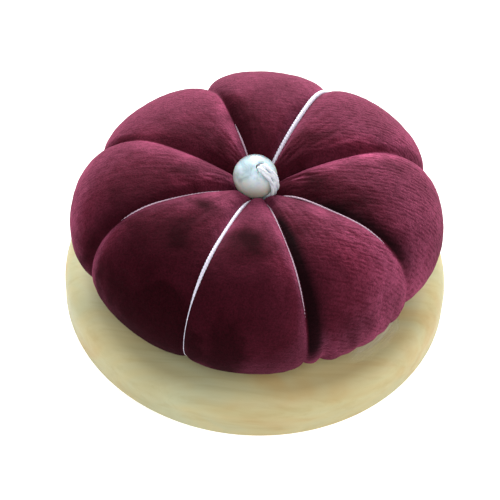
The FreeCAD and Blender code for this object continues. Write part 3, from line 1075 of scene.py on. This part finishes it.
# The bundle's middle: its distance from the bead's centre as it goes over the bead, the gap between its
# legs in the core, how far past the hole's lean its arc over the bead starts, and where the arc ends
STANDOFF = 5.5
LEG_SPACING = 1.3
OUT_OF_HOLE = 16.0
LEAVES_BEAD = 150.0
# How far below the bead the first leg ends, how far the stretch in the hole runs past the bead at each
# end, and how far below the arc's end the second leg starts
LEG_PAST_BEAD = 3.0
HOLE_PAST_LOW = 0.6
HOLE_PAST_HIGH = 0.3
LEG_DROP = 2.5
# Inside the hole: the strands' distance from the bundle's middle, and their radius
TIGHT_REACH = 0.6
TIGHT_RADIUS = 0.4
# Over the bead: the same inward and sideways, and their radius
SPREAD_IN = 0.18
SPREAD_ACROSS = 1.05
SPREAD_RADIUS = 0.42
# How far the bundle is swept round the hole once it is out
SWEEP = 15.0


def bead_thread_line(lean, core):
    """The bundle's middle as (reach, height) from the bead's centre, in the plane of the hole's lean: up
    the core, through the hole, over the bead's side and back down the core."""
    knot_top = knot_high[2] - BEAD_CENTRE.z
    along_hole = np.linspace(-BEAD_RADIUS - HOLE_PAST_LOW, BEAD_RADIUS + HOLE_PAST_HIGH, 12)[:, None]
    over = np.radians(np.linspace(math.degrees(lean) + OUT_OF_HOLE, LEAVES_BEAD, 40))
    leave_height = STANDOFF * math.cos(over[-1])
    return np.concatenate([
        [(core - LEG_SPACING / 2, knot_top), (core - LEG_SPACING / 2, -BEAD_RADIUS - LEG_PAST_BEAD)],
        along_hole * np.array([math.sin(lean), math.cos(lean)]),
        np.stack([np.sin(over), np.cos(over)], axis=1) * STANDOFF,
        [(core + LEG_SPACING / 2, leave_height - LEG_DROP), (core + LEG_SPACING / 2, knot_top)],
    ])


def swept(route, share):
    """A route turned about the bead's hole, by the sweep's angle times the share at each point."""
    centre = np.array(BEAD_CENTRE)
    axis = np.array(BEAD_AXIS)
    angle = np.radians(SWEEP * share)[:, None]
    away = route - centre
    along = (away @ axis)[:, None] * axis
    return centre + along + (away - along) * np.cos(angle) + np.cross(axis, away) * np.sin(angle)


def make_bead_thread(material):
    """A bundle of loosely twisted strands. It is tight inside the hole and spreads out over the bead."""
    lean = math.acos(BEAD_AXIS.z)
    direction = math.atan2(BEAD_AXIS.y, BEAD_AXIS.x)
    radial = np.array([math.cos(direction), math.sin(direction), 0])
    core = float(np.dot(np.array([AXIS_X, AXIS_Y, 0]) - np.array(BEAD_CENTRE), radial))
    line = evenly(bead_thread_line(lean, core), STRAND_STEPS, closed=False)
    line = softened(line, BUNDLE_PASSES, closed=False)
    middle = np.array(BEAD_CENTRE) + stood_up(line, radial)
    normals = stood_up(to_left(np.gradient(line, axis=0)), radial)
    binormals = np.broadcast_to(np.cross(UPWARD, radial), normals.shape)
    distance = np.linalg.norm(line, axis=1)
    # Spread out over the bead, and together again down beside it
    outside = smooth_step(distance, BEAD_RADIUS - 1.2, BEAD_RADIUS + 0.3)
    outside = outside * smooth_step(line[:, 1], -4.5, -1.5)
    across = TIGHT_REACH + (SPREAD_ACROSS - TIGHT_REACH) * outside
    inward = TIGHT_REACH + (SPREAD_IN - TIGHT_REACH) * outside
    radii = TIGHT_RADIUS + (SPREAD_RADIUS - TIGHT_RADIUS) * outside
    share = np.linspace(0, 1, STRAND_STEPS)
    highest = share[line[:, 1].argmax()]
    past_hole = smooth_step(share, highest - 0.01, highest + 0.06)
    points = []
    faces = []
    for strand in range(STRANDS):
        turn = 2 * math.pi * (strand / STRANDS + STRAND_TURNS * share)
        route = (middle + normals * (inward * np.cos(turn))[:, None]
                 + binormals * (across * np.sin(turn))[:, None])
        route = swept(route, past_hole)
        strand_points, strand_faces = twisted_tube(route, radii, normals, binormals, STRAND_PITCH, False,
                                                   STRAND_AROUND)
        first = len(points) * len(strand_points)
        points.append(strand_points)
        faces += [tuple(first + index for index in face) for face in strand_faces]
    new_piece("bead_thread_strands", np.concatenate(points), faces,
              stands_for=["bead_thread"], material=material)


# ---------------------------------------------------------------- base and glue

BASE_TOP_ROUND = 5.0
BASE_BOTTOM_ROUND = 0.6
BASE_AROUND = 256
BASE_TOP_STEPS = 24
BASE_BOTTOM_STEPS = 8
BASE_FLAT_STEPS = 40
# The reach of the small flat face at the middle of the top and of the bottom
BASE_MIDDLE = 0.5


def make_base():
    """A disc turned on a lathe, with a broad rounded edge at the top and a small one at the bottom."""
    top_turn = np.linspace(0, math.pi / 2, BASE_TOP_STEPS)
    bottom_turn = np.linspace(math.pi / 2, math.pi, BASE_BOTTOM_STEPS)
    top = [(BASE_RADIUS - BASE_TOP_ROUND + BASE_TOP_ROUND * math.sin(turn),
            BASE_TOP - BASE_TOP_ROUND + BASE_TOP_ROUND * math.cos(turn)) for turn in top_turn]
    bottom = [(BASE_RADIUS - BASE_BOTTOM_ROUND + BASE_BOTTOM_ROUND * math.sin(turn),
               BASE_BOTTOM_ROUND + BASE_BOTTOM_ROUND * math.cos(turn)) for turn in bottom_turn]
    flat = BASE_RADIUS - BASE_TOP_ROUND
    flat_bottom = BASE_RADIUS - BASE_BOTTOM_ROUND
    inner_top = [(reach, BASE_TOP) for reach in np.linspace(BASE_MIDDLE, flat, BASE_FLAT_STEPS)[:-1]]
    inner_bottom = [(reach, 0.0) for reach in np.linspace(flat_bottom, BASE_MIDDLE, BASE_FLAT_STEPS)[1:]]
    profile = np.array(inner_top + top + bottom + inner_bottom)
    ring = np.linspace(0, 2 * math.pi, BASE_AROUND, endpoint=False)
    points = ring_points(profile[:, :1], profile[:, 1:], ring)
    faces = grid_faces(len(profile), BASE_AROUND, False) + end_faces(len(profile), BASE_AROUND)
    new_piece("turned_base", points, faces, stands_for=["wooden_base"],
              material=wood_material())


GLUE_REACH = 30.0
GLUE_AROUND = 180
# The smear: how far it reaches past the pool, and its half width in degrees
SMEAR_REACH = 11.0
SMEAR_HALF_WIDTH = 24.0
# The waves of the pool's and the smear's edge, as height, number round the glue and start in radians
POOL_WAVES = ((0.4, 5, 1.0), (0.25, 13, 0.0))
SMEAR_WAVE = (0.5, 31, 0.0)
# How much thinner the glue is than its CAD piece, and how squarely its edge ends
GLUE_THINNER = 0.02
GLUE_EDGE_POWER = 12
# How far the glue has soaked into the wood
GLUE_SUNK = 0.05


def waved(turn, height, count, start):
    """A wave that goes round the glue's edge."""
    return height * np.sin(count * turn + start)


def make_glue():
    """A thin pool of dried glue with a wavy edge. At the front right it was squeezed out as a smear."""
    glue_low, glue_high = node_box("glue_layer")
    turn = np.linspace(0, 2 * math.pi, GLUE_AROUND, endpoint=False)
    from_smear = (np.degrees(turn) - SMEAR_ANGLE + 180) % 360 - 180
    edge = GLUE_REACH + waved(turn, *POOL_WAVES[0]) + waved(turn, *POOL_WAVES[1])
    smear_edge = SMEAR_REACH + waved(turn, *SMEAR_WAVE)
    edge += smear_edge * np.exp(-(from_smear / SMEAR_HALF_WIDTH) ** 2)
    edge_share = np.concatenate([np.linspace(0.02, 0.96, 30), [0.98, 0.995, 1.0]])
    thickness = glue_high[2] - glue_low[2] - GLUE_THINNER
    height = glue_low[2] + thickness * np.sqrt(np.maximum(0, 1 - edge_share ** GLUE_EDGE_POWER))
    top = [(share, level) for share, level in zip(edge_share, height)]
    bottom = [(share, glue_low[2] - GLUE_SUNK) for share in edge_share[-2::-1]]
    rows = np.array(top + bottom)
    points = ring_points(rows[:, :1] * edge, rows[:, 1:], turn) + np.array([AXIS_X, AXIS_Y, 0])
    faces = grid_faces(len(rows), GLUE_AROUND, False) + end_faces(len(rows), GLUE_AROUND)
    new_piece("glue_smear", points, faces, stands_for=["glue_layer"],
              material=glue_material())


# ---------------------------------------------------------------- the whole object

make_stage()
make_camera()
make_base()
make_cushion()
make_stuffing()
thread = thread_material("white_thread", shade(196, 188, 212), shade(240, 236, 248))
# A darker, pinker copy of the white thread for the threads sunk in the grooves: painted shade, with the
# pile's burgundy where it closes over them
shaded_thread = thread_material("shaded_thread", shade(168, 134, 154), shade(206, 178, 196))
for thread_number in range(len(SEAM_ANGLES)):
    make_wrap_thread(thread_number, thread if thread_number in (0, 4) else shaded_thread)
make_bead()
make_bead_thread(bundle_material())
make_glue()
for node_name in ("gathering_thread", "thread_knot"):
    node_mesh = frame["nodes"][node_name].data
    node_mesh.materials.clear()
    node_mesh.materials.append(thread)
